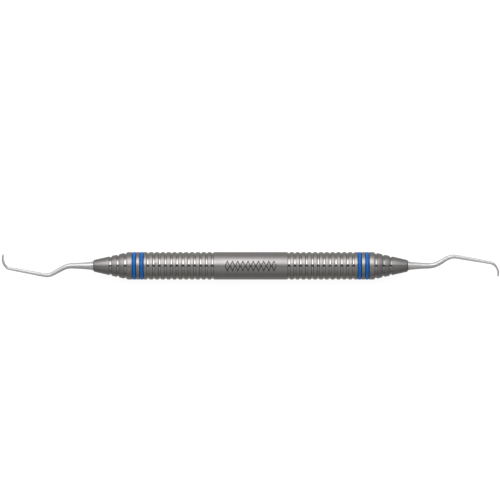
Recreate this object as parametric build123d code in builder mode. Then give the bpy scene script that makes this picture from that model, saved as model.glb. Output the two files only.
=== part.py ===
from build123d import *
import math
import os

# Double-ended hand scaler, in millimetres.
# The origin is the middle of the handle, on its axis. +X runs along the handle towards the
# right working end, +Z is up when the scaler lies on a table, and both shanks bend in the XY plane.

# ---- Driving dimensions ----
handle_radius = 4.8
handle_length = 109.8
band_length = 25.82
bore_radius = 3.5

# Finger ribs: flat-bottomed grooves turned in the tube, the same number each side of the band
groove_count = 12
groove_pitch = 2.04
groove_width = 0.84
groove_depth = 0.3
groove_corner_radius = 0.18
groove_shoulder_radius = 0.08
first_groove_at = (band_length + groove_width) / 2

# Colour-code rings and the seats they lie in
ring_stations = {"inner": 37.98, "outer": 40.62}
seat_width = 1.54
seat_radius = 4.1
ring_side_clearance = 0.02
ring_running_clearance = 0.03
ring_edge_radius = 4.58
ring_crown_radius = 4.85

# End cones: the tube stops at the first cone groove, and the cone's spigot goes into its bore
cone_starts_at = 42.8
cone_slope = 0.23
tube_end_at = 43.3
cone_groove_width = 0.8
cone_groove_depth = 0.35
cone_groove_slope = cone_slope / 2
cone_groove_pitch = 2.6
cone_edge_radius = 0.1
nose_corner_radius = 0.45
nose_face_at = handle_length / 2
spigot_length = 7.0
spigot_lead = 0.3
relief_radius = 2.4
relief_end_at = 45.7

# Working ends: tang, shoulder collar and the straight flared root of the shank
tang_radius = 1.2
tang_start_at = 46.1
flute_count = 8
flute_radius = 0.16
collar_radius = 1.58
collar_length = 0.53
root_radius = 1.48
root_middle_radius = 1.12
root_middle_at = 59.4
root_end_radius = 0.97
root_end_at = 62.0

# Bent part of the shank: distance along its centreline and radius of the round section there.
# The last section lies at the end of the centreline, where the blade starts.
shank_stations = [(0.0, 0.97), (2.0, 0.9), (5.7, 0.795), (9.2, 0.72), (12.2, 0.685), (19.4, 0.57)]
shank_end_radius = 0.52

# Each end's bends, seen along Z: distance out from the handle's middle, and offset from its
# axis, counted positive towards the side where the toe points
bend_corners = {
    "left": [(64.15, 0.0), (70.52, -3.52), (84.71, -0.885)],
    "right": [(64.15, 0.0), (70.03, -3.5), (84.25, -1.0)],
}
bend_radii = {"left": (7.5, 4.5, 1.8), "right": (7.0, 5.5, 1.8)}
blade_starts_at = {"left": (85.09, -0.6), "right": (84.91, -0.52)}

# Curette blade: a tight arc and then an easier one, as (radius, degrees), of a section with
# a flat face on the inside of the curve and a round back. Its sections, as (width, depth), lie at
# the blade's root, where its two arcs meet, and at its toe.
blade_arcs = {"left": [(3.7, 52.0), (9.5, 11.0)], "right": [(3.8, 54.0), (4.5, 16.0)]}
blade_sections = {
    "left": [(1.0, 0.94), (0.92, 0.8), (0.62, 0.58)],
    "right": [(1.0, 0.9), (0.92, 0.66), (0.62, 0.47)],
}
toe_rounding = 0.16

os.makedirs("parts", exist_ok=True)


def save(builder, name):
    """Label a finished piece and write it to its own file."""
    builder.part.label = name
    export_step(builder.part, f"parts/{name}.step")


def cone_radius(distance):
    """Radius of the cone's outer surface at a distance from the handle's middle."""
    return handle_radius - cone_slope * (distance - cone_starts_at)


def cone_groove(centre):
    """Corners of one cone groove: upright walls, and a floor with half the cone's slope."""
    near = centre - cone_groove_width / 2
    far = centre + cone_groove_width / 2
    floor_radius = cone_radius(centre) - cone_groove_depth
    floor_drop = cone_groove_slope * cone_groove_width / 2
    return [
        (near, cone_radius(near)),
        (near, floor_radius + floor_drop),
        (far, floor_radius - floor_drop),
        (far, cone_radius(far)),
    ]


def square_to(path, distance, outwards):
    """Plane square to a path, at a distance along it, facing outwards, with its x axis along Z."""
    place = path.location_at(distance, position_mode=PositionMode.LENGTH)
    heading = Plane(place).z_dir
    if heading.dot(outwards) < 0:
        heading = -heading
    return Plane(origin=place.position, x_dir=(0, 0, 1), z_dir=heading)


# Each end is drawn outwards from the handle's middle, in a plane whose x axis is the way out.
# The right plane is the left one turned half a turn about Z.
end_planes = {
    "left": Plane(origin=(0, 0, 0), x_dir=(-1, 0, 0), z_dir=(0, 0, -1)),
    "right": Plane(origin=(0, 0, 0), x_dir=(1, 0, 0), z_dir=(0, 0, -1)),
}

# ---- Handle tube ----
# Half of its section is drawn beside the axis and turned about it
groove_stations = [first_groove_at + groove_pitch * number for number in range(groove_count)]
ribs_end_at = groove_stations[-1] + groove_pitch / 2
with BuildPart() as handle_tube:
    with BuildSketch(Plane.XY) as tube_section:
        with BuildLine():
            Polyline(
                (-tube_end_at, bore_radius),
                (-tube_end_at, cone_radius(tube_end_at)),
                (-cone_starts_at, handle_radius),
                (cone_starts_at, handle_radius),
                (tube_end_at, cone_radius(tube_end_at)),
                (tube_end_at, bore_radius),
                close=True,
            )
        make_face()
        with Locations(*[(way * x, handle_radius) for way in (-1, 1) for x in groove_stations]):
            RectangleRounded(groove_width, 2 * groove_depth, groove_corner_radius, mode=Mode.SUBTRACT)
        outer_corners = tube_section.vertices().group_by(Axis.Y)[-1]
        rib_corners = outer_corners.filter_by(lambda corner: abs(corner.X) < ribs_end_at)
        fillet(rib_corners, radius=groove_shoulder_radius)
        with Locations(*[(way * x, handle_radius) for way in (-1, 1) for x in ring_stations.values()]):
            Rectangle(seat_width, 2 * (handle_radius - seat_radius), mode=Mode.SUBTRACT)
    revolve(axis=Axis.X)
save(handle_tube, "handle_tube")

# ---- End cones ----
# The first groove is the gap between the tube and the cone's first land, over the cone's neck
first_cone_groove_at = tube_end_at + cone_groove_width / 2
cone_grooves = [first_cone_groove_at + cone_groove_pitch * number for number in range(3)]
spigot_start_at = tube_end_at - spigot_length
for side, plane in end_planes.items():
    with BuildPart() as end_cone:
        with BuildSketch(plane) as cone_section:
            with BuildLine():
                Polyline(
                    (spigot_start_at, relief_radius),
                    (spigot_start_at, bore_radius - spigot_lead),
                    (spigot_start_at + spigot_lead, bore_radius),
                    (tube_end_at, bore_radius),
                    *cone_groove(cone_grooves[0])[1:],
                    *cone_groove(cone_grooves[1]),
                    *cone_groove(cone_grooves[2]),
                    (nose_face_at, cone_radius(nose_face_at)),
                    (nose_face_at, tang_radius),
                    (relief_end_at, tang_radius),
                    (relief_end_at, relief_radius),
                    close=True,
                )
            make_face()
            nose_corner = plane.from_local_coords((nose_face_at, cone_radius(nose_face_at)))
            fillet(cone_section.vertices().sort_by_distance(nose_corner)[0], radius=nose_corner_radius)
            groove_corners = [
                cone_section.vertices().sort_by_distance(plane.from_local_coords((x, cone_radius(x))))[0]
                for groove in cone_grooves
                for x in (groove - cone_groove_width / 2, groove + cone_groove_width / 2)
            ]
            fillet(groove_corners[1:], radius=cone_edge_radius)
        revolve(axis=Axis.X)
    save(end_cone, f"{side}_end_cone")

# ---- Colour rings ----
ring_bore_radius = seat_radius + ring_running_clearance
half_width = seat_width / 2 - ring_side_clearance
for side, plane in end_planes.items():
    for position, station in ring_stations.items():
        with BuildPart() as colour_ring:
            with BuildSketch(Plane(origin=plane.x_dir * station, z_dir=(0, 0, 1))):
                with BuildLine():
                    Polyline(
                        (-half_width, ring_edge_radius),
                        (-half_width, ring_bore_radius),
                        (half_width, ring_bore_radius),
                        (half_width, ring_edge_radius),
                    )
                    ThreePointArc(
                        (half_width, ring_edge_radius),
                        (0, ring_crown_radius),
                        (-half_width, ring_edge_radius),
                    )
                make_face()
            revolve(axis=Axis.X)
        save(colour_ring, f"{side}_{position}_colour_ring")

# ---- Working ends ----
for side, plane in end_planes.items():
    # The centreline: straight runs joined by tangent arcs, and then the blade's two arcs
    with BuildLine() as shank_line:
        FilletPolyline(
            (root_end_at, 0), *bend_corners[side], blade_starts_at[side], radius=bend_radii[side])
    with BuildLine() as blade_line:
        way_in = Vector(*blade_starts_at[side]) - Vector(*bend_corners[side][-1])
        heel_arc = JernArc(blade_starts_at[side], way_in, *blade_arcs[side][0])
        JernArc(heel_arc @ 1, heel_arc % 1, *blade_arcs[side][1])
    shank_path = plane.from_local_coords(shank_line.wire())
    blade_path = plane.from_local_coords(blade_line.wire())

    with BuildPart() as working_end:
        # Tang: a fluted pin, pressed in the cone's bore
        with BuildSketch(Plane(origin=plane.x_dir * tang_start_at, z_dir=plane.x_dir)):
            Circle(tang_radius)
            with PolarLocations(tang_radius, flute_count):
                Circle(flute_radius, mode=Mode.SUBTRACT)
        extrude(amount=nose_face_at - tang_start_at)

        # Shoulder collar and the flared root of the shank
        collar_end_at = nose_face_at + collar_length
        with BuildSketch(plane):
            with BuildLine():
                Polyline(
                    (root_end_at, root_end_radius),
                    (root_end_at, 0),
                    (nose_face_at, 0),
                    (nose_face_at, collar_radius),
                    (collar_end_at, collar_radius),
                    (collar_end_at, root_radius),
                )
                ThreePointArc(
                    (collar_end_at, root_radius),
                    (root_middle_at, root_middle_radius),
                    (root_end_at, root_end_radius),
                )
            make_face()
        revolve(axis=Axis.X)

        # Bent shank: round sections along its centreline
        for distance, radius in shank_stations + [(shank_path.length, shank_end_radius)]:
            with BuildSketch(square_to(shank_path, distance, plane.x_dir)):
                Circle(radius)
        sweep(path=shank_path, multisection=True)

        # Blade: a flat-faced, round-backed section along its two arcs
        heel_radius, heel_turn = blade_arcs[side][0]
        blade_stations = [0.0, math.radians(heel_turn) * heel_radius, blade_path.length]
        for distance, (width, depth) in zip(blade_stations, blade_sections[side]):
            with BuildSketch(square_to(blade_path, distance, plane.x_dir + 2 * plane.y_dir)):
                with BuildLine():
                    Line((width / 2, depth / 2), (-width / 2, depth / 2))
                    ThreePointArc((-width / 2, depth / 2), (0, -depth / 2), (width / 2, depth / 2))
                make_face()
        sweep(path=blade_path, multisection=True)
        toe_face = working_end.faces().sort_by_distance(blade_path @ 1)[0]
        fillet(toe_face.edges(), radius=toe_rounding)
    save(working_end, f"{side}_working_end")
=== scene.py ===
import math

import bmesh
import bpy
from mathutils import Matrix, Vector


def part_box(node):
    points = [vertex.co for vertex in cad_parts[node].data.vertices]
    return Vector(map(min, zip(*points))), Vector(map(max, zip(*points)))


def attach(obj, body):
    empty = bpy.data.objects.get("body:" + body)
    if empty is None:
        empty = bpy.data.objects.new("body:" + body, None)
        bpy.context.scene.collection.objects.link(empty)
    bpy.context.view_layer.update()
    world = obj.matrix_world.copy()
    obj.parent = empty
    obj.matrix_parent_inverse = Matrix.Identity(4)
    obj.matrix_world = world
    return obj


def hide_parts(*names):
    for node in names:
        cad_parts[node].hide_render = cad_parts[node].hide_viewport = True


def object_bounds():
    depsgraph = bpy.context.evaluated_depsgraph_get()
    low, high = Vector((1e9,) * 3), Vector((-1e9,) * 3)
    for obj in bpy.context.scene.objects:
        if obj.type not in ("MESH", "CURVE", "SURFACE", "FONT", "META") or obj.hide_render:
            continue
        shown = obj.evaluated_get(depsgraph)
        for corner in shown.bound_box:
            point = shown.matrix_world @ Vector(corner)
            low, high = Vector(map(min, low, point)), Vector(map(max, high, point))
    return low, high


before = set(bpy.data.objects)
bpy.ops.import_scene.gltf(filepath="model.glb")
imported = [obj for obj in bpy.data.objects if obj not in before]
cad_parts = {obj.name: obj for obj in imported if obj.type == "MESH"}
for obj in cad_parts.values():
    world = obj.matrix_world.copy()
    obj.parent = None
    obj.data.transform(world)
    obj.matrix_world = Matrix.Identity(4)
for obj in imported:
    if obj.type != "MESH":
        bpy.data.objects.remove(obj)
cad_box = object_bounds()

# A double-ended hand scaler, lying along X. Its lengths are in millimetres, and times MM in metres.
MM = 0.001
SIDES = {"left": -1, "right": 1}

# ---- Sizes read from the frame ----
handle_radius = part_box("handle_tube")[1].z / MM
tube_end_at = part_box("handle_tube")[1].x / MM
nose_face_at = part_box("right_end_cone")[1].x / MM
spigot_start_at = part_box("right_end_cone")[0].x / MM
tang_start_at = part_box("right_working_end")[0].x / MM
collar_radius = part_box("right_working_end")[1].z / MM
ring_crown_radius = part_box("right_inner_colour_ring")[1].z / MM
ring_spans = {
    position: [corner.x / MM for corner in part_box(f"right_{position}_colour_ring")]
    for position in ("inner", "outer")
}

# ---- Sizes of the turned details ----
# Steps round the axis, along the arc of a rounded corner and along a ring's crown
turning_steps = 160
rounding_steps = 5
crown_steps = 12
band_half_length = 12.91
bore_radius = 3.5
groove_count = 12
groove_pitch = 2.04
groove_width = 0.84
groove_depth = 0.3
groove_corner_radius = 0.18
groove_shoulder_radius = 0.08
seat_radius = 4.1
seat_side_clearance = 0.02
seat_edge_radius = 0.05
ring_bore_radius = 4.13
ring_edge_radius = 4.58
ring_corner_radius = 0.03
cone_starts_at = 42.8
cone_slope = 0.23
bevel_start_rounding = 0.3
tube_end_rounding = 0.08
cone_groove_width = 0.8
cone_groove_depth = 0.35
cone_groove_slope = cone_slope / 2
cone_groove_pitch = 2.6
cone_edge_radius = 0.1
cone_floor_corner_radius = 0.08
nose_corner_radius = 0.45
spigot_lead = 0.3
tang_radius = 1.2
relief_radius = 2.4
relief_end_at = 45.7

# ---- Sizes of the working ends ----
# Steps round a section, along a bend and, in mm, along a straight run
section_steps = 64
bend_steps = 12
run_step = 0.4
flute_count = 8
flute_depth = 0.14
flutes_end_before_nose = 0.4
flute_run_out = 0.1
collar_length = 0.53
collar_edge_radius = 0.1
# Distance along the shank's centreline from the collar, and radius of the round section there
shank_sections = [
    (0.0, 1.48), (2.0, 1.27), (4.0, 1.11), (5.7, 1.02), (7.1, 0.96), (9.1, 0.885),
    (12.8, 0.795), (16.3, 0.72), (19.3, 0.685), (26.5, 0.57), (30.6, 0.52),
]
# Bends, as distance out from the handle's middle and offset towards the side where the toe points
bend_corners = {
    "left": [(64.15, 0.0), (70.52, -3.52), (84.71, -0.885)],
    "right": [(64.15, 0.0), (70.03, -3.5), (84.25, -1.0)],
}
bend_radii = {"left": (7.5, 4.5, 1.8), "right": (7.0, 5.5, 1.8)}
blade_starts_at = {"left": (85.09, -0.6), "right": (84.91, -0.52)}
# Blade: its arcs as (radius, degrees), then its sizes at shares of its length from the shank
blade_arcs = {"left": [(3.7, 52.0), (9.5, 11.0)], "right": [(3.8, 54.0), (4.5, 16.0)]}
blade_widths = [(0.0, 1.03), (0.25, 0.98), (0.6, 0.88), (1.0, 0.66)]
blade_depths = {
    "left": [(0.0, 0.98), (0.25, 0.85), (0.6, 0.78), (1.0, 0.58)],
    "right": [(0.0, 0.96), (0.25, 0.74), (0.6, 0.64), (1.0, 0.47)],
}
face_grinds_in_over = 1.0
face_crown = 0.012
toe_length = 0.36
toe_steps = 10
toe_section_at = 0.97
toe_tip_share = 0.02

# ---- The etched ornament: a row of lozenge outlines on the band ----
row_half_length = 9.0
row_middle = -0.05
lozenge_pitch = 1.8
lozenge_half_width = 0.9
lozenge_half_height = 1.9
# As fractions of a lozenge's size: where the middle of its line runs, and half that line's width
lozenge_line_at = 0.88
lozenge_line_half_width = 0.17
# Etched steel keeps a share of the steel's colour, and is rougher and lower than the steel
etched_share = 0.2
etched_roughness = 0.18
etched_depth = 0.02


def cone_radius(distance):
    """Radius of the end cone's surface at a distance from the handle's middle."""
    return handle_radius - cone_slope * (distance - cone_starts_at)


# ---- Mesh making ----
# An edge stays sharp where its two faces meet at more than this many degrees
sharp_angle = 38.0


def arc(centre, radius, start, end, steps):
    """Points along an arc between two angles in radians, both ends included."""
    points = []
    for i in range(steps + 1):
        angle = start + (end - start) * i / steps
        x = centre[0] + radius * math.cos(angle)
        y = centre[1] + radius * math.sin(angle)
        points.append(Vector((x, y)))
    return points


def rounded(corners):
    """Outline through (x, y, rounding) corners, with an arc at each corner that has a rounding."""
    points = []
    for i, (x, y, rounding) in enumerate(corners):
        here = Vector((x, y))
        if rounding == 0:
            points.append(here)
            continue
        back = (Vector(corners[i - 1][:2]) - here).normalized()
        on = (Vector(corners[(i + 1) % len(corners)][:2]) - here).normalized()
        half = back.angle(on) / 2
        centre = here + (back + on).normalized() * (rounding / math.sin(half))
        first = here + back * (rounding / math.tan(half)) - centre
        last = here + on * (rounding / math.tan(half)) - centre
        start = math.atan2(first.y, first.x)
        turn = (math.atan2(last.y, last.x) - start + math.pi) % (2 * math.pi) - math.pi
        points += arc(centre, rounding, start, start + turn, rounding_steps)
    return points


def mesh_object(name, vertices, faces, materials):
    """A smooth-shaded object, in metres, from vertices in millimetres, with its edges kept sharp."""
    mesh = bpy.data.meshes.new(name)
    mesh.from_pydata([Vector(v) * MM for v in vertices], [], faces)
    mesh.validate()
    cleaner = bmesh.new()
    cleaner.from_mesh(mesh)
    bmesh.ops.recalc_face_normals(cleaner, faces=cleaner.faces)
    cleaner.to_mesh(mesh)
    cleaner.free()
    mesh.shade_smooth()
    mesh.set_sharp_from_angle(angle=math.radians(sharp_angle))
    for material in materials:
        mesh.materials.append(material)
    piece = bpy.data.objects.new(name, mesh)
    bpy.context.scene.collection.objects.link(piece)
    return piece


def turned(name, outline, material):
    """A piece turned about the X axis from a closed outline of (x, radius) points."""
    vertices = []
    for point in outline:
        for step in range(turning_steps):
            angle = 2 * math.pi * step / turning_steps
            vertices.append((point.x, point.y * math.cos(angle), point.y * math.sin(angle)))
    faces = []
    for row in range(len(outline)):
        next_row = (row + 1) % len(outline)
        for step in range(turning_steps):
            next_step = (step + 1) % turning_steps
            faces.append((
                row * turning_steps + step, row * turning_steps + next_step,
                next_row * turning_steps + next_step, next_row * turning_steps + step))
    return mesh_object(name, vertices, faces, [material])


def between(stations, place):
    """Value at a place along (place, value) stations, on a smooth curve through all of them."""
    places = [station[0] for station in stations]
    values = [station[1] for station in stations]
    place = min(max(place, places[0]), places[-1])
    i = max(k for k in range(len(places) - 1) if places[k] <= place)
    slopes = [
        (values[k + 1] - values[k]) / (places[k + 1] - places[k]) for k in range(len(places) - 1)]
    leave = (slopes[max(i - 1, 0)] + slopes[i]) / 2
    arrive = (slopes[i] + slopes[min(i + 1, len(slopes) - 1)]) / 2
    span = places[i + 1] - places[i]
    t = (place - places[i]) / span
    return ((2 * t**3 - 3 * t**2 + 1) * values[i] + (t**3 - 2 * t**2 + t) * span * leave
            + (3 * t**2 - 2 * t**3) * values[i + 1] + (t**3 - t**2) * span * arrive)


# ---- Materials ----
# The worn edges of grooves are brighter than the grooves, and mix with the steel by a share
edge_brightness = 1.25
edge_share = 0.5
# The shank's polish grows paler over this distance out from the handle's middle
shank_pales_between = (62, 74)


class Nodes:
    """A node tree filled from Python: each method adds a node and returns one of its outputs."""

    def __init__(self, tree):
        self.tree = tree
        tree.nodes.clear()

    def add(self, kind, inputs, **settings):
        node = self.tree.nodes.new(kind)
        for setting, value in settings.items():
            setattr(node, setting, value)
        for socket, value in inputs.items():
            if isinstance(value, bpy.types.NodeSocket):
                self.tree.links.new(value, node.inputs[socket])
            else:
                node.inputs[socket].default_value = value
        return node

    def math(self, operation, *values):
        return self.add("ShaderNodeMath", dict(enumerate(values)), operation=operation).outputs[0]

    def scaled(self, vector, factors):
        return self.add("ShaderNodeVectorMath", {0: vector, 1: factors}, operation="MULTIPLY").outputs[0]

    def length(self, vector):
        return self.add("ShaderNodeVectorMath", {0: vector}, operation="LENGTH").outputs["Value"]

    def split(self, vector):
        return self.add("ShaderNodeSeparateXYZ", {0: vector}).outputs

    def noise(self, vector, detail=2.0, roughness=0.5):
        inputs = {"Vector": vector, "Scale": 1.0, "Detail": detail, "Roughness": roughness}
        return self.add("ShaderNodeTexNoise", inputs).outputs["Fac"]

    def ease(self, value, low, high, to_low=0.0, to_high=1.0):
        """A smooth step from to_low to to_high while the value goes from low to high."""
        inputs = {
            "Value": value, "From Min": low, "From Max": high, "To Min": to_low, "To Max": to_high}
        return self.add("ShaderNodeMapRange", inputs, interpolation_type="SMOOTHSTEP").outputs[0]

    def mix(self, factor, first, second):
        node = self.add("ShaderNodeMix", {0: factor}, data_type="RGBA")
        for socket, value in ((node.inputs[6], first), (node.inputs[7], second)):
            if isinstance(value, bpy.types.NodeSocket):
                self.tree.links.new(value, socket)
            else:
                socket.default_value = (*value, 1)
        return node.outputs[2]

    def ramp(self, value, stops):
        """Colours along a value from 0 to 1, from (place, colour) stops."""
        node = self.add("ShaderNodeValToRGB", {0: value})
        node.color_ramp.interpolation = "EASE"
        elements = node.color_ramp.elements
        while len(elements) < len(stops):
            elements.new(0.5)
        for element, (place, colour) in zip(elements, stops):
            element.position = place
            element.color = (*colour, 1)
        return node.outputs[0]

    def bump(self, height, distance, strength, below=None):
        """A normal bent by a height, which stands for a distance in mm, over another normal below."""
        inputs = {"Height": height, "Distance": distance * MM, "Strength": strength}
        if below:
            inputs["Normal"] = below
        return self.add("ShaderNodeBump", inputs).outputs[0]


def material_of(name):
    """A new material, its nodes, the place in the CAD frame in mm, and its Principled shader."""
    material = bpy.data.materials.new(name)
    material.use_nodes = True
    nodes = Nodes(material.node_tree)
    shader = nodes.add("ShaderNodeBsdfPrincipled", {})
    nodes.add("ShaderNodeOutputMaterial", {"Surface": shader.outputs[0]})
    in_metres = nodes.add("ShaderNodeTexCoord", {}).outputs["Object"]
    place = nodes.scaled(in_metres, (1 / MM, 1 / MM, 1 / MM))
    return material, nodes, place, shader


def set_shader(nodes, shader, **inputs):
    """Link or set the shader's inputs, named with _ in place of each space."""
    for name, value in inputs.items():
        socket = shader.inputs[name.replace("_", " ")]
        if isinstance(value, bpy.types.NodeSocket):
            nodes.tree.links.new(value, socket)
        else:
            socket.default_value = value


def turned_steel(name, colour, groove_colour, groove_metallic, roughness, groove_roughness,
                 surface_radius, etched=None):
    """Steel turned on a lathe about X: fine lines round the axis, polished grooves, bright edges.

    surface_radius adds the nodes for the radius in mm that the surface would have with no
    grooves, and etched adds those for a mark that is 1 where the steel is etched."""
    material, nodes, place, shader = material_of(name)
    radius = nodes.length(nodes.scaled(place, (0, 1, 1)))
    below = nodes.math("SUBTRACT", surface_radius(nodes, nodes.split(place)[0]), radius)
    in_groove = nodes.ease(below, 0.06, 0.14)
    at_edge = nodes.math(
        "MULTIPLY", nodes.ease(below, 0.008, 0.03), nodes.ease(below, 0.12, 0.05))

    # Lathe lines, broader bands, the marks of handling, and grain
    lines = nodes.noise(nodes.scaled(place, (22, 0.12, 0.12)), detail=3.0)
    bands = nodes.noise(nodes.scaled(place, (3.1, 0.05, 0.05)), detail=2.0)
    handling = nodes.noise(nodes.scaled(place, (0.16, 0.3, 0.3)), detail=4.0, roughness=0.6)
    grain = nodes.noise(nodes.scaled(place, (9, 9, 9)), detail=3.0, roughness=0.6)

    shade = nodes.math(
        "ADD", nodes.ease(lines, 0.3, 0.7, -0.035, 0.035), nodes.ease(bands, 0.3, 0.7, -0.03, 0.03))
    shade = nodes.math("ADD", shade, nodes.ease(grain, 0.3, 0.7, -0.03, 0.03))
    shade = nodes.math("ADD", shade, nodes.ease(handling, 0.35, 0.65, 0.965, 1.035))
    base = nodes.mix(in_groove, colour, groove_colour)
    edge_colour = [edge_brightness * channel for channel in groove_colour]
    base = nodes.mix(nodes.math("MULTIPLY", at_edge, edge_share), base, edge_colour)
    dull = nodes.ease(handling, 0.35, 0.7, -0.03, 0.05)
    rough = nodes.math("ADD", nodes.ease(in_groove, 0, 1, roughness, groove_roughness), dull)
    height = nodes.math("ADD", lines, nodes.math("MULTIPLY", grain, 0.35))
    normal = nodes.bump(height, 0.0012, 0.5)
    if etched:
        mark = etched(nodes, place)
        base = nodes.mix(mark, base, [etched_share * channel for channel in colour])
        rough = nodes.math("ADD", rough, nodes.math("MULTIPLY", mark, etched_roughness))
        normal = nodes.bump(mark, -etched_depth, 0.6, below=normal)
    base = nodes.scaled(base, shade)
    metallic = nodes.ease(in_groove, 0, 1, 1.0, groove_metallic)
    tangent = nodes.add("ShaderNodeTangent", {}, direction_type="RADIAL", axis="X").outputs[0]
    set_shader(nodes, shader, Base_Color=base, Metallic=metallic, Roughness=rough, Normal=normal,
               Anisotropic=0.35, Anisotropic_Rotation=0.25, Tangent=tangent)
    return material


def cone_drop(nodes, x):
    """How far the cone's surface lies under the handle's, in mm: negative short of the cone."""
    out = nodes.math("SUBTRACT", nodes.math("ABSOLUTE", x), cone_starts_at)
    return nodes.math("MULTIPLY", out, cone_slope)


def tube_surface(nodes, x):
    """The tube's radius, which is the same all along it up to its bevelled ends."""
    return nodes.math("SUBTRACT", handle_radius, nodes.math("MAXIMUM", cone_drop(nodes, x), 0.0))


def cone_surface(nodes, x):
    """The end cone's radius."""
    return nodes.math("SUBTRACT", handle_radius, cone_drop(nodes, x))


def lozenge_row(nodes, place):
    """A row of lozenge outlines, etched along the upper side of the band: a plain ornament."""
    x, y, z = nodes.split(place)
    step = nodes.math("FRACT", nodes.math("DIVIDE", x, lozenge_pitch))
    across = nodes.math("ABSOLUTE", nodes.math("SUBTRACT", step, 0.5))
    across = nodes.math("MULTIPLY", across, lozenge_pitch / lozenge_half_width)
    up = nodes.math("ABSOLUTE", nodes.math("SUBTRACT", y, row_middle))
    up = nodes.math("DIVIDE", up, lozenge_half_height)
    off_line = nodes.math("SUBTRACT", nodes.math("ADD", across, up), lozenge_line_at)
    off_line = nodes.math("ABSOLUTE", off_line)
    line = nodes.ease(off_line, lozenge_line_half_width * 1.3, lozenge_line_half_width * 0.7)
    inside = nodes.ease(nodes.math("ABSOLUTE", x), row_half_length + 0.05, row_half_length - 0.05)
    upper_side = nodes.ease(z, 0, 0.5)
    return nodes.math("MULTIPLY", nodes.math("MULTIPLY", line, inside), upper_side)


def polished_shank():
    """Polished steel with faint lines along the shank and finger marks, paler where it is thin."""
    material, nodes, place, shader = material_of("polished_steel")
    lines = nodes.noise(nodes.scaled(place, (0.35, 14, 14)), detail=3.0)
    marks = nodes.noise(nodes.scaled(place, (0.5, 0.8, 0.8)), detail=4.0, roughness=0.6)
    out = nodes.math("ABSOLUTE", nodes.split(place)[0])
    thin = nodes.ease(out, *shank_pales_between)
    base = nodes.mix(marks, (0.52, 0.52, 0.52), (0.58, 0.58, 0.575))
    base = nodes.mix(thin, base, nodes.mix(marks, (0.65, 0.65, 0.65), (0.71, 0.71, 0.705)))
    rough = nodes.math(
        "ADD", nodes.ease(lines, 0.3, 0.7, 0.30, 0.36), nodes.ease(marks, 0.4, 0.7, 0.0, 0.06))
    rough = nodes.math("ADD", rough, nodes.math("MULTIPLY", thin, 0.1))
    set_shader(nodes, shader, Base_Color=base, Metallic=nodes.ease(thin, 0, 1, 0.5, 0.4),
               Roughness=rough, Normal=nodes.bump(lines, 0.0006, 0.5))
    return material


def ground_blade():
    """Fine-ground steel, with its lines square to the handle."""
    material, nodes, place, shader = material_of("blade_steel")
    lines = nodes.noise(nodes.scaled(place, (26, 2.5, 1.2)), detail=3.0)
    marks = nodes.noise(nodes.scaled(place, (1.3, 1.3, 1.3)), detail=3.0)
    base = nodes.mix(marks, (0.56, 0.56, 0.555), (0.66, 0.66, 0.65))
    rough = nodes.math(
        "ADD", nodes.ease(lines, 0.3, 0.7, 0.34, 0.42), nodes.ease(marks, 0.4, 0.7, 0.0, 0.05))
    set_shader(nodes, shader, Base_Color=base, Metallic=0.45, Roughness=rough,
               Normal=nodes.bump(lines, 0.0012, 0.6))
    return material


def silicone():
    """Dyed silicone: a faintly cloudy colour, a fine grain, specks of dust and painted shade on its
    shoulders.
    """
    material, nodes, place, shader = material_of("blue_silicone")
    radius = nodes.length(nodes.scaled(place, (0, 1, 1)))
    cloud = nodes.noise(nodes.scaled(place, (0.8, 0.5, 0.5)), detail=3.0)
    grain = nodes.noise(nodes.scaled(place, (14, 14, 14)), detail=2.0)
    specks = nodes.ease(nodes.noise(nodes.scaled(place, (6, 6, 6)), detail=1.0), 0.70, 0.76)
    base = nodes.mix(cloud, (0.003, 0.142, 0.50), (0.005, 0.158, 0.55))
    # Painted shade: the colour darkens from the crown down the shoulders towards the seat walls, where
    # the crevice beside the ring lies in shade
    low = nodes.ease(radius, ring_crown_radius - 0.04, ring_edge_radius + 0.08)
    base = nodes.mix(low, base, (0.002, 0.040, 0.19))
    base = nodes.mix(nodes.math("MULTIPLY", specks, 0.25), base, (0.10, 0.20, 0.42))
    rough = nodes.math(
        "ADD", nodes.ease(grain, 0.3, 0.7, 0.34, 0.42), nodes.math("MULTIPLY", specks, 0.2))
    set_shader(nodes, shader, Base_Color=base, Roughness=rough, Specular_IOR_Level=0.3,
               Normal=nodes.bump(grain, 0.004, 0.4))
    return material


satin_steel = turned_steel(
    "satin_steel", colour=(0.345, 0.336, 0.328), groove_colour=(0.325, 0.317, 0.304),
    groove_metallic=0.9, roughness=0.44, groove_roughness=0.14, surface_radius=tube_surface,
    etched=lozenge_row)
cone_steel = turned_steel(
    "cone_steel", colour=(0.312, 0.308, 0.304), groove_colour=(0.285, 0.28, 0.272),
    groove_metallic=0.95, roughness=0.45, groove_roughness=0.18, surface_radius=cone_surface)
polished_steel = polished_shank()
blade_steel = ground_blade()
blue_silicone = silicone()


# ---- Handle tube ----
def groove(centre):
    """Outline corners of one flat-bottomed groove with rounded shoulders, from low x to high x."""
    low, high = centre - groove_width / 2, centre + groove_width / 2
    floor_radius = handle_radius - groove_depth
    return [
        (low, handle_radius, groove_shoulder_radius), (low, floor_radius, groove_corner_radius),
        (high, floor_radius, groove_corner_radius), (high, handle_radius, groove_shoulder_radius)]


def seat(low, high):
    """Outline corners of a ring's seat, from low x to high x."""
    low -= seat_side_clearance
    high += seat_side_clearance
    return [(low, handle_radius, seat_edge_radius), (low, seat_radius, 0),
            (high, seat_radius, 0), (high, handle_radius, seat_edge_radius)]


def mirrored(points):
    """The same outline for the other end of the handle, with its points still in order of x."""
    return [Vector((-point.x, point.y)) for point in reversed(points)]


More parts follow.
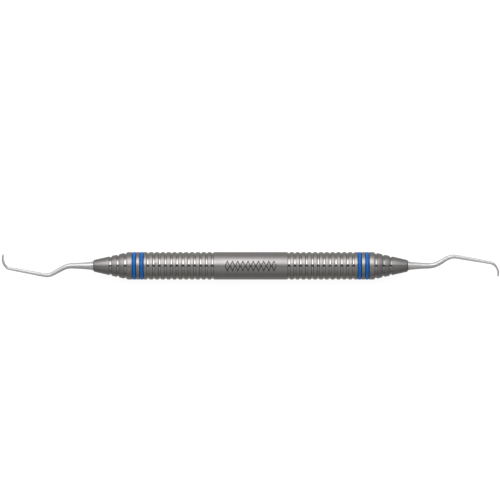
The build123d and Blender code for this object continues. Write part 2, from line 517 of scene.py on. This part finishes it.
def build_handle():
    corners = [(0, handle_radius, 0)]
    for number in range(groove_count):
        corners += groove(band_half_length + groove_width / 2 + groove_pitch * number)
    corners += [
        *seat(*ring_spans["inner"]),
        *seat(*ring_spans["outer"]),
        (cone_starts_at, handle_radius, bevel_start_rounding),
        (tube_end_at, cone_radius(tube_end_at), tube_end_rounding),
        (tube_end_at, bore_radius, 0),
    ]
    half = rounded(corners)[1:]
    piece = turned("handle_tube_turned", mirrored(half) + half, satin_steel)
    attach(piece, "instrument")
    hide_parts("handle_tube")


# ---- End cones ----
def cone_groove(number):
    """Outline corners of one cone groove: upright walls, and a floor with half the cone's slope."""
    centre = tube_end_at + cone_groove_width / 2 + cone_groove_pitch * number
    low, high = centre - cone_groove_width / 2, centre + cone_groove_width / 2
    floor_radius = cone_radius(centre) - cone_groove_depth
    floor_drop = cone_groove_slope * cone_groove_width / 2
    return [
        (low, cone_radius(low), cone_edge_radius),
        (low, floor_radius + floor_drop, cone_floor_corner_radius),
        (high, floor_radius - floor_drop, cone_floor_corner_radius),
        (high, cone_radius(high), cone_edge_radius),
    ]


def build_cone(side, way):
    # The tube's end face is the inner wall of the first groove, so that corner has no rounding
    _, (neck_x, neck_radius, _), *first_groove_rest = cone_groove(0)
    corners = [
        (spigot_start_at, relief_radius, 0),
        (spigot_start_at, bore_radius - spigot_lead, 0),
        (spigot_start_at + spigot_lead, bore_radius, 0),
        (tube_end_at, bore_radius, 0),
        (neck_x, neck_radius, 0),
        *first_groove_rest,
        *cone_groove(1),
        *cone_groove(2),
        (nose_face_at, cone_radius(nose_face_at), nose_corner_radius),
        (nose_face_at, tang_radius, 0),
        (relief_end_at, tang_radius, 0),
        (relief_end_at, relief_radius, 0),
    ]
    outline = rounded(corners)
    if way < 0:
        outline = mirrored(outline)
    piece = turned(f"{side}_end_cone_turned", outline, cone_steel)
    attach(piece, "instrument")
    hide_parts(f"{side}_end_cone")


# ---- Colour rings ----
def build_ring(side, way, position):
    low, high = ring_spans[position]
    middle, half = (low + high) / 2, (high - low) / 2
    rise = ring_crown_radius - ring_edge_radius
    crown_curve = (half**2 + rise**2) / (2 * rise)
    reach = math.asin(half / crown_curve)
    crown = arc((0, ring_crown_radius - crown_curve), crown_curve,
                math.pi / 2 + reach, math.pi / 2 - reach, crown_steps)
    corners = [(point.x, point.y, 0) for point in crown]
    corners[0] = (*corners[0][:2], ring_corner_radius)
    corners[-1] = (*corners[-1][:2], ring_corner_radius)
    corners += [(half, ring_bore_radius, 0), (-half, ring_bore_radius, 0)]
    outline = [Vector((way * middle + point.x, point.y)) for point in rounded(corners)]
    piece = turned(f"{side}_{position}_ring_moulded", outline, blue_silicone)
    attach(piece, f"{side}_{position}_ring")
    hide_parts(f"{side}_{position}_colour_ring")


# ---- Working ends ----
def stretch(start, heading, curve_radius, turn, steps):
    """Points and headings along an arc that leaves a point with a heading and turns left by turn."""
    made = []
    left = Vector((-math.sin(heading), math.cos(heading)))
    centre = start + left * curve_radius
    for i in range(1, steps + 1):
        angle = turn * i / steps
        now = heading + angle
        made.append((centre + Vector((math.sin(now), -math.cos(now))) * curve_radius, now))
    return made


def shank_line(side):
    """Centreline of the shank, from the collar to the blade, as points and headings."""
    places = [(nose_face_at + collar_length, 0.0), *bend_corners[side], blade_starts_at[side]]
    corners = [Vector(place) for place in places]
    line = [(corners[0], 0.0)]
    for before, here, after, radius in zip(corners, corners[1:], corners[2:], bend_radii[side]):
        into, out = (here - before).normalized(), (after - here).normalized()
        turn = -into.angle_signed(out)
        cut = radius * math.tan(abs(turn) / 2)
        heading = math.atan2(into.y, into.x)
        run_start, run_end = line[-1][0], here - into * cut
        runs = round((run_end - run_start).length / run_step)
        line += [(run_start.lerp(run_end, i / runs), heading) for i in range(1, runs + 1)]
        line += stretch(run_end, heading, math.copysign(radius, turn), turn, bend_steps)
    line.append((corners[-1], line[-1][1]))
    return line


def blade_line(side, start, heading):
    """Centreline of the blade, on from the shank's end, as points and headings."""
    line = [(start, heading)]
    for radius, turn in blade_arcs[side]:
        line += stretch(*line[-1], radius, math.radians(turn), round(turn))
    return line


def section(point, heading, way, width, back, front, edge_level):
    """One ring of points round a place edge_level inside the line, width wide across Z.

    It reaches as far as back on the outside of the curve, and as far as front on the inside."""
    outwards = Vector((math.cos(heading), math.sin(heading)))
    inside = Vector((-outwards.y, outwards.x))
    ring = []
    for step in range(section_steps):
        angle = 2 * math.pi * step / section_steps
        rise = math.sin(angle) * (front if math.sin(angle) > 0 else back)
        place = point + inside * (edge_level + rise)
        ring.append((way * place.x, -way * place.y, width / 2 * math.cos(angle)))
    return ring


def tang_and_collar(way):
    """Rings of the fluted tang and the shoulder collar, along the straight axis."""
    rings = []
    flutes_end_at = nose_face_at - flutes_end_before_nose
    tang_stations = [
        (tang_start_at, True), (flutes_end_at, True), (flutes_end_at + flute_run_out, False)]
    for x, fluted in tang_stations:
        ring = []
        for step in range(section_steps):
            angle = 2 * math.pi * step / section_steps
            dip = flute_depth * max(0, math.cos(flute_count * angle)) if fluted else 0
            radius = tang_radius - dip
            ring.append((way * x, radius * math.cos(angle), radius * math.sin(angle)))
        rings.append(ring)
    collar_end_at = nose_face_at + collar_length
    collar = rounded([
        (nose_face_at, tang_radius, 0),
        (nose_face_at, collar_radius, collar_edge_radius),
        (collar_end_at, collar_radius, collar_edge_radius),
        (collar_end_at, shank_sections[0][1], 0),
    ])
    for point in collar[:-1]:
        rings.append(section(Vector((point.x, 0)), 0.0, way, 2 * point.y, point.y, point.y, 0.0))
    return rings


def build_working_end(side, way):
    rings = tang_and_collar(way)
    line = shank_line(side)
    distance = 0.0
    for i, (point, heading) in enumerate(line):
        if i:
            distance += (point - line[i - 1][0]).length
        radius = between(shank_sections, distance)
        rings.append(section(point, heading, way, 2 * radius, radius, radius, 0.0))
    shank_rings = len(rings)

    blade = blade_line(side, *line[-1])
    lengths = [0.0]
    for (a, _), (b, _) in zip(blade, blade[1:]):
        lengths.append(lengths[-1] + (b - a).length)
    total = lengths[-1]
    for (point, heading), along in zip(blade[1:], lengths[1:]):
        if along > total - toe_length:
            break
        width = between(blade_widths, along / total)
        depth = between(blade_depths[side], along / total)
        ground = min(1, along / face_grinds_in_over)
        ground = ground**2 * (3 - 2 * ground)
        back = depth / 2 * (1 + ground)
        front = depth / 2 * (1 - ground) + face_crown * ground
        rings.append(section(point, heading, way, width, back, front, depth / 2 * ground))
    # The toe rounds off in plan, and its back comes up to the face
    point, heading = blade[-1]
    onwards = Vector((math.cos(heading), math.sin(heading)))
    toe_start = point - onwards * toe_length
    width = between(blade_widths, toe_section_at)
    depth = between(blade_depths[side], toe_section_at)
    for step in range(1, toe_steps + 1):
        angle = math.pi / 2 * step / toe_steps
        scale = max(math.cos(angle), toe_tip_share)
        place = toe_start + onwards * (toe_length * math.sin(angle))
        rings.append(section(
            place, heading, way, width * scale, depth * scale, face_crown * scale, depth / 2))

    vertices = [vertex for ring in rings for vertex in ring]
    faces = []
    for row in range(len(rings) - 1):
        for step in range(section_steps):
            next_step = (step + 1) % section_steps
            faces.append((
                row * section_steps + step, row * section_steps + next_step,
                (row + 1) * section_steps + next_step, (row + 1) * section_steps + step))
    faces.append(tuple(range(section_steps)))
    last_ring = range((len(rings) - 1) * section_steps, len(rings) * section_steps)
    faces.append(tuple(reversed(last_ring)))
    piece = mesh_object(f"{side}_working_end_ground", vertices, faces, [polished_steel, blade_steel])
    for face in piece.data.polygons:
        if min(face.vertices) // section_steps >= shank_rings - 1:
            face.material_index = 1
    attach(piece, "instrument")
    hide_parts(f"{side}_working_end")


build_handle()
for side, way in SIDES.items():
    build_cone(side, way)
    build_working_end(side, way)
    for position in ring_spans:
        build_ring(side, way, position)

# ---- Camera, straight above, at a long distance ----
view_width = 174.65
view_centre = (-0.24, 5.52)
lens_length = 200.0
sensor_width = 36.0
camera = bpy.data.objects.new("camera", bpy.data.cameras.new("camera"))
camera.data.lens = lens_length
camera.data.sensor_width = sensor_width
camera_height = view_width * lens_length / sensor_width
camera.location = (view_centre[0] * MM, view_centre[1] * MM, camera_height * MM)
camera.rotation_euler = (0, 0, 0)
bpy.context.scene.collection.objects.link(camera)
bpy.context.scene.camera = camera

# ---- Floor, and a pale shell all round that only the camera sees ----
def pale_material(name, own_light, grey):
    """A matt material that gives off light of its own, and takes shadows as far as it is grey."""
    material, nodes, _, shader = material_of(name)
    set_shader(nodes, shader, Base_Color=(grey, grey, grey, 1), Roughness=1.0, Specular_IOR_Level=0.0,
               Emission_Color=(1, 1, 1, 1), Emission_Strength=own_light)
    return material, nodes, shader


def stage_object(name, mesh, material):
    """An object of the studio, which is not part of the scaler."""
    mesh.materials.append(material)
    piece = bpy.data.objects.new(name, mesh)
    bpy.context.scene.collection.objects.link(piece)
    return piece


# Half the floor's width and the shell's radius, in metres
stage_size = 3.0
floor_gap = 0.02
floor_level = cad_box[0].z - floor_gap * MM
floor_mesh = bpy.data.meshes.new("floor")
floor_mesh.from_pydata([
    (-stage_size, -stage_size, floor_level), (stage_size, -stage_size, floor_level),
    (stage_size, stage_size, floor_level), (-stage_size, stage_size, floor_level)], [], [(0, 1, 2, 3)])
floor_material, floor_nodes, floor_shader = pale_material("pale_floor", 0.9, 0.3)
floor = stage_object("floor", floor_mesh, floor_material)
floor.visible_glossy = False
# From below, the floor is clear, so that the underside of the scaler can be looked at
from_below = floor_nodes.add("ShaderNodeNewGeometry", {}).outputs["Backfacing"]
clear = floor_nodes.add("ShaderNodeBsdfTransparent", {}).outputs[0]
one_sided = floor_nodes.add("ShaderNodeMixShader", {0: from_below, 1: floor_shader.outputs[0], 2: clear})
floor_output = floor_material.node_tree.nodes["Material Output"]
floor_material.node_tree.links.new(one_sided.outputs[0], floor_output.inputs["Surface"])

shell_mesh = bpy.data.meshes.new("backdrop")
shell = bmesh.new()
bmesh.ops.create_icosphere(shell, subdivisions=4, radius=stage_size)
shell.to_mesh(shell_mesh)
shell.free()
backdrop = stage_object("backdrop", shell_mesh, pale_material("pale_backdrop", 1.0, 0.0)[0])
for ray in ("diffuse", "glossy", "transmission", "volume_scatter", "shadow"):
    setattr(backdrop, f"visible_{ray}", False)

# ---- Light: a long soft light behind the object, and a dimmer tent round it ----
# Angles are in degrees about X from straight up, positive towards +Y. The gap between the tent's
# edge and the soft light leaves a dark line in polished grooves. Colours are linear.
tent_stops = [
    (-180, (0.30, 0.30, 0.30)),
    (-150, (0.45, 0.45, 0.44)),
    (-134, (0.54, 0.54, 0.53)),
    (-110, (0.37, 0.364, 0.357)),
    (-90, (0.25, 0.243, 0.235)),
    (-70, (0.31, 0.30, 0.29)),
    (-56, (0.42, 0.41, 0.40)),
    (-40, (0.50, 0.492, 0.483)),
    (-25, (0.66, 0.66, 0.665)),
    (-15, (0.80, 0.807, 0.825)),
    (-10, (0.74, 0.75, 0.765)),
    (-5.5, (0.02, 0.02, 0.02)),
    (12.5, (0.02, 0.02, 0.02)),
    (16, (0.65, 0.64, 0.64)),
    (60, (0.73, 0.70, 0.69)),
    (78, (0.62, 0.60, 0.585)),
    (95, (0.52, 0.515, 0.507)),
    (115, (0.48, 0.48, 0.473)),
    (140, (0.61, 0.61, 0.604)),
    (180, (0.30, 0.30, 0.30)),
]
key_stops = [(12.5, 0.0), (16, 1.2), (22, 1.17), (46, 1.0), (57, 0.55), (70, 0.06), (82, 0.0)]
key_strength = 3.25
key_colour = (1.0, 0.978, 1.01)

# Along X the light is placed by the x of a direction of length 1
key_middle = -0.1
key_spread = 0.33
key_falloff_power = 4.0
tent_middle = -0.045
tent_dims_between = (0.35, 0.92)
tent_end_strength = 0.12


def around(angle):
    """Place of an angle in degrees along the light's colour ramps, which go once round X."""
    return (angle + 180) / 360


def off_middle(nodes, x, middle):
    """How far x lies from a middle, either way."""
    return nodes.math("ABSOLUTE", nodes.math("SUBTRACT", x, middle))


world = bpy.data.worlds.new("studio")
bpy.context.scene.world = world
world.use_nodes = True
studio = Nodes(world.node_tree)
direction = studio.split(studio.add("ShaderNodeTexCoord", {}).outputs["Generated"])
turn = studio.math("DIVIDE", studio.math("ARCTAN2", direction[1], direction[2]), 2 * math.pi)
turn = studio.math("ADD", turn, around(0))
tent = studio.ramp(turn, [(around(angle), colour) for angle, colour in tent_stops])
key = studio.ramp(turn, [
    (around(angle), [key_strength * strength * channel for channel in key_colour])
    for angle, strength in key_stops])
key_reach = studio.math("DIVIDE", off_middle(studio, direction[0], key_middle), key_spread)
key_falloff = studio.math("MULTIPLY", studio.math("POWER", key_reach, key_falloff_power), -1.0)
key_falloff = studio.math("EXPONENT", key_falloff)
tent_falloff = studio.ease(
    off_middle(studio, direction[0], tent_middle), *tent_dims_between, 1.0, tent_end_strength)
key = studio.scaled(key, key_falloff)
tent = studio.scaled(tent, tent_falloff)
light = studio.add("ShaderNodeVectorMath", {0: key, 1: tent}, operation="ADD").outputs[0]
background = studio.add("ShaderNodeBackground", {"Color": light})
studio.add("ShaderNodeOutputWorld", {"Surface": background.outputs[0]})

bpy.context.scene.view_settings.view_transform = "Standard"
